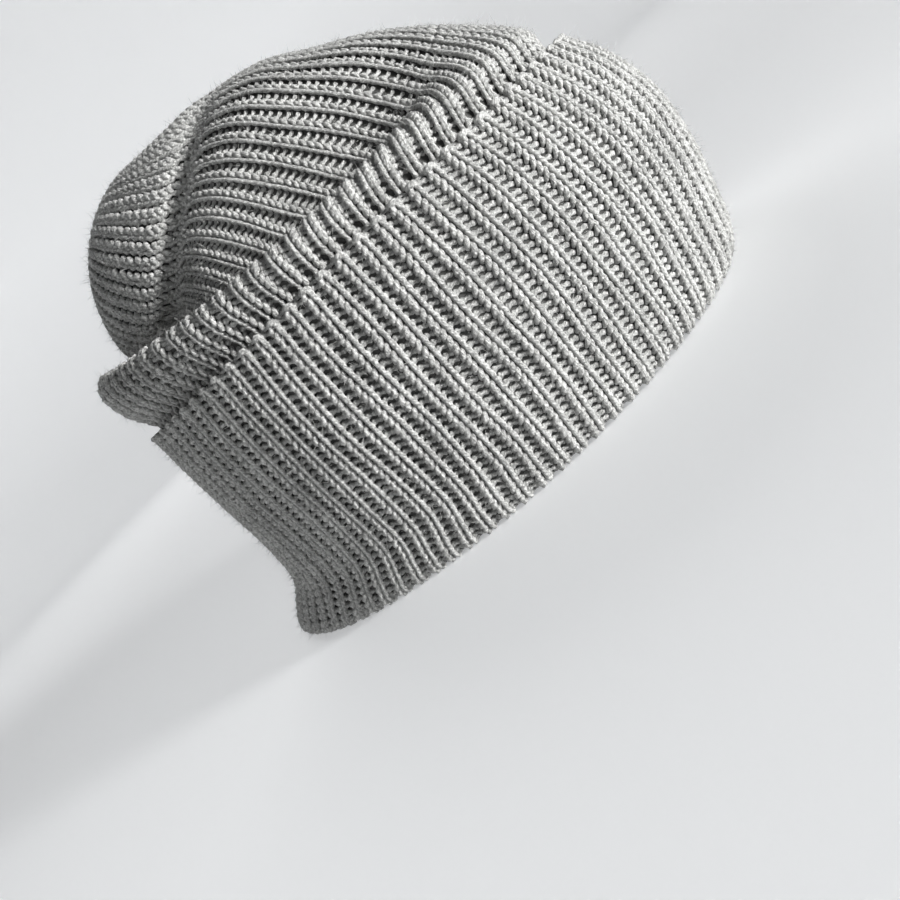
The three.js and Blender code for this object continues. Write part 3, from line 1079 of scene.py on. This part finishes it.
class BEANIE_OT_cuff_stitches(bpy.types.Operator):
    """The cuff's yarn: a straight cord and a chain of beads in every rib, and bars in the grooves."""

    bl_idname = "beanie.cuff_stitches"
    bl_label = "Cuff stitches"

    def execute(self, context):
        settings = context.scene.beanie
        fabric = cuff_fabric(settings)
        yarn = yarn_material("Cuff yarn", settings)
        rows = (0, fabric.rows)
        pieces = (
            lay_cords("cuff_cords", fabric, rows, -1, 0, 3),
            lay_chain("cuff_chain", fabric, rows, 1, 11),
            lay_bars("cuff_purl_bars", fabric, rows, 1, 1.0, 17),
            lay_fuzz("cuff_fuzz", fabric, rows, settings.fibres, 61),
        )
        for piece in pieces:
            seat(piece, "cuff", yarn)
        return {"FINISHED"}


class BEANIE_OT_crown_stitches(bpy.types.Operator):
    """The yarn of the roll, the dome and the tail.

    Chain and cord change sides against the cuff, for the knitting shows its other face. In the tail the
    ribs lie side by side and leave no room for bars.
    """

    bl_idname = "beanie.crown_stitches"
    bl_label = "Crown stitches"

    def execute(self, context):
        settings = context.scene.beanie
        yarn = yarn_material("Crown yarn", settings)
        roll = crown_fabric(settings, all_bases(settings))
        dome = crown_fabric(settings, narrowed_bases(settings))
        tip = crown_fabric(settings, narrowed_bases(settings)[::2])
        valley = int(roll.row(VALLEY_PLACE))
        gather = int(roll.row(GATHER_PLACE))
        low = (0, valley)
        high = (valley, gather)
        last = (gather, roll.rows)
        pieces = (
            lay_cords("roll_cords", roll, low, 1, 0.5, 23),
            lay_chain("roll_chain", roll, low, -1, 31),
            lay_bars("roll_purl_bars", roll, low, -1, 0.95, 37),
            lay_cords("dome_cords", dome, high, 1, 1, 43),
            lay_chain("dome_chain", dome, high, -1, 47),
            lay_bars("dome_purl_bars", dome, high, -1, 0.84, 53),
            lay_cords("gather_cords", tip, last, 1, 1, 71),
            lay_chain("gather_chain", tip, last, -1, 73),
            lay_fuzz("crown_fuzz", dome, (4, dome.rows - 2), settings.fibres, 67),
        )
        for piece in pieces:
            seat(piece, "crown", yarn)
        return {"FINISHED"}


class BEANIE_OT_cast_on_edge(bpy.types.Operator):
    """The cuff's free edge: every cord hooks over its rib, and a low strand links it to the next."""

    bl_idname = "beanie.cast_on_edge"
    bl_label = "Cast-on edge"

    def execute(self, context):
        settings = context.scene.beanie
        fabric = cuff_fabric(settings)
        yarn = yarn_material("Cuff yarn", settings)
        ribs = settings.ribs
        rib = np.arange(ribs, dtype=float)
        noise = np.random.default_rng(51).normal(0, 1, (3, ribs, 1))
        hook = np.array(HOOK_STATIONS)
        bend = np.linspace(0, 1, len(hook))[None]
        across = hook[None, :, 0] + 0.016 * noise[0] * bend
        along = hook[None, :, 1] + 0.09 * noise[1] * bend
        depth = np.broadcast_to(hook[None, :, 2] * MM, across.shape)
        size = np.broadcast_to(hook[None, :, 3] * MM, across.shape)
        point, normal = laid_path(fabric, rib, np.zeros(ribs), across, along, depth)
        hooks = strands("cast_on_hooks", point, normal, size, size, 7, CORD_TIP, random_shade(ribs, 52))

        t = np.linspace(0, 1, 7)[None]
        across = -0.2 - 0.6 * t + 0.01 * noise[2]
        along = 0.25 - 0.45 * np.sin(np.pi * t) + 0.08 * noise[0]
        depth = np.broadcast_to(LINK_DEPTH + LINK_SAG * np.sin(np.pi * t), across.shape)
        point, normal = laid_path(fabric, rib, np.zeros(ribs), across, along, depth)
        size = np.full(across.shape, LINK_RADIUS)
        links = strands("cast_on_links", point, normal, size, size, 6, CORD_TIP, random_shade(ribs, 53))
        for piece in (hooks, links):
            seat(piece, "cuff", yarn)
        return {"FINISHED"}


def floor_mesh():
    """Level floor that bends up to a wall all round.

    The bend is radius = flat + bend * sin(t) and height = bend * (1 - cos(t)).
    """
    bend = np.linspace(0.1, 1.5, 14)
    flat = np.linspace(FLOOR_START, FLOOR_RADIUS, 12)
    wall = FLOOR_RADIUS + FLOOR_BEND
    radius = np.concatenate([[FLOOR_HUB], flat, FLOOR_RADIUS + FLOOR_BEND * np.sin(bend), [wall]])
    height = np.concatenate([np.zeros(len(flat) + 1), FLOOR_BEND * (1 - np.cos(bend)), [WALL_HEIGHT]])
    columns = FLOOR_COLUMNS
    turn = 2 * np.pi * np.arange(columns) / columns
    level = np.broadcast_to(height[:, None], (len(radius), columns))
    loops = np.stack([radius[:, None] * np.cos(turn), radius[:, None] * np.sin(turn), level], axis=-1)
    i, j, k = face_grid(len(radius) - 1, columns)
    quads = np.stack([i * columns + j, (i + 1) * columns + j, (i + 1) * columns + k, i * columns + k], -1)
    j = np.arange(columns)
    hub = np.full(columns, len(radius) * columns)
    centre = np.stack([hub, j, (j + 1) % columns], -1)
    points = np.concatenate([loops.reshape(-1, 3), [[0, 0, 0]]])
    uvs = [np.zeros((len(quads), 4, 2)), np.zeros((columns, 3, 2))]
    return build_mesh("floor", points, [quads, centre], uvs)


def mapped(wire, value, low, high, kind):
    """Map Range node: low and high are each a value and what it becomes."""
    node = wire.nodes.new("ShaderNodeMapRange")
    node.interpolation_type = kind
    node.inputs["From Min"].default_value = low[0]
    node.inputs["From Max"].default_value = high[0]
    node.inputs["To Min"].default_value = low[1]
    node.inputs["To Max"].default_value = high[1]
    wire.feed(node.inputs["Value"], value)
    return node.outputs[0]


def floor_material(stage):
    """Matt paper that gives off a soft light: less at the near side of the back, more near the hat."""
    material = bpy.data.materials.new("Pale paper")
    material.use_nodes = True
    wire = Wiring(material.node_tree)
    shader = wire.nodes["Principled BSDF"]
    shader.inputs["Roughness"].default_value = 0.9
    shader.inputs["Specular IOR Level"].default_value = 0.1
    place = wire.nodes.new("ShaderNodeTexCoord")
    ramp = wire.nodes.new("ShaderNodeValToRGB")
    low, high = ramp.color_ramp.elements
    low.color = [channel * 0.98 for channel in stage.floor] + [1]
    high.color = [channel * 1.01 for channel in stage.floor] + [1]
    wire.feed(ramp.inputs[0], wire.noise(place.outputs["Object"], 900.0, 2.0))
    wire.feed(shader.inputs["Base Color"], ramp.outputs[0])

    split = wire.nodes.new("ShaderNodeSeparateXYZ")
    wire.feed(split.inputs[0], place.outputs["Object"])
    away = wire.math("MULTIPLY_ADD", split.outputs["X"], 0.55, split.outputs["Y"])
    even = mapped(wire, away, (-1.5, 0.0), (0.3, stage.floor_glow), "LINEAR")
    distance = wire.nodes.new("ShaderNodeVectorMath")
    distance.operation = "DISTANCE"
    wire.feed(distance.inputs[0], place.outputs["Object"])
    distance.inputs[1].default_value = POOL_PLACE
    middle = (0.15, 1.1 * stage.floor_glow)
    pool = mapped(wire, distance.outputs["Value"], middle, (0.95, 0.0), "SMOOTHSTEP")
    shader.inputs["Emission Color"].default_value = (0.97, 0.985, 1.0, 1.0)
    wire.feed(shader.inputs["Emission Strength"], wire.math("ADD", even, pool))
    return material


def add_light(name, place, power, size):
    """Round area light aimed at the middle of the hat."""
    data = bpy.data.lights.new(name, "AREA")
    data.shape = "DISK"
    data.size = size
    data.energy = power
    light = bpy.data.objects.new(name, data)
    light.location = place
    aim = Vector(LIGHT_AIM) - Vector(place)
    light.rotation_euler = aim.to_track_quat("-Z", "Y").to_euler()
    light.visible_camera = False
    bpy.context.scene.collection.objects.link(light)


def add_camera(stage):
    """Camera at its azimuth and elevation round the target, turned by its roll."""
    data = bpy.data.cameras.new("camera")
    data.lens = stage.lens
    data.sensor_width = 36
    data.clip_start = 0.01
    camera = bpy.data.objects.new("camera", data)
    bpy.context.scene.collection.objects.link(camera)
    azimuth, elevation = stage.azimuth, stage.elevation
    level = math.cos(elevation)
    back = Vector((math.sin(azimuth) * level, -math.cos(azimuth) * level, math.sin(elevation)))
    level_right = Vector((math.cos(azimuth), math.sin(azimuth), 0))
    level_up = back.cross(level_right)
    right = level_right * math.cos(stage.roll) + level_up * math.sin(stage.roll)
    up = back.cross(right)
    matrix = Matrix((right, up, back)).transposed().to_4x4()
    matrix.translation = Vector(CAMERA_TARGET) + back * CAMERA_DISTANCE
    camera.matrix_world = matrix
    return camera


class BEANIE_OT_stage(bpy.types.Operator):
    """Pale floor that rises far behind the hat, soft lights and the camera."""

    bl_idname = "beanie.stage"
    bl_label = "Floor, lights and camera"

    def execute(self, context):
        scene = context.scene
        stage = scene.beanie_stage
        floor = floor_mesh()
        floor.data.materials.append(floor_material(stage))

        world = bpy.data.worlds.new("Soft room")
        world.use_nodes = True
        background = world.node_tree.nodes["Background"]
        background.inputs["Color"].default_value = (0.86, 0.9, 0.95, 1)
        background.inputs["Strength"].default_value = 0.05
        scene.world = world
        scene.view_settings.view_transform = "Standard"

        add_light("key", KEY_PLACE, stage.key_power, KEY_SIZE)
        add_light("side", SIDE_PLACE, stage.side_power, SIDE_SIZE)
        add_light("fill", FILL_PLACE, stage.fill_power, FILL_SIZE)
        scene.camera = add_camera(stage)
        return {"FINISHED"}


class BEANIE_PT_panel(bpy.types.Panel):
    """Lists the steps that build the beanie."""

    bl_idname = "BEANIE_PT_panel"
    bl_label = "Beanie"
    bl_space_type = "VIEW_3D"
    bl_region_type = "UI"
    bl_category = "Beanie"

    def draw(self, context):
        for operator in OPERATORS:
            self.layout.operator(operator.bl_idname)
        for settings in (context.scene.beanie, context.scene.beanie_stage):
            for name in settings.bl_rna.properties.keys():
                if name not in {"rna_type", "name"}:
                    self.layout.prop(settings, name)


OPERATORS = (
    BEANIE_OT_cuff_ground,
    BEANIE_OT_crown_ground,
    BEANIE_OT_cuff_stitches,
    BEANIE_OT_crown_stitches,
    BEANIE_OT_cast_on_edge,
    BEANIE_OT_stage,
)
CLASSES = (BeanieSettings, StageSettings) + OPERATORS + (BEANIE_PT_panel,)


def register():
    for item in CLASSES:
        bpy.utils.register_class(item)
    bpy.types.Scene.beanie = PointerProperty(type=BeanieSettings)
    bpy.types.Scene.beanie_stage = PointerProperty(type=StageSettings)


def unregister():
    del bpy.types.Scene.beanie_stage
    del bpy.types.Scene.beanie
    for item in reversed(CLASSES):
        bpy.utils.unregister_class(item)


def main():
    register()
    for operator in OPERATORS:
        group, name = operator.bl_idname.split(".")
        getattr(getattr(bpy.ops, group), name)()


if __name__ == "__main__":
    main()
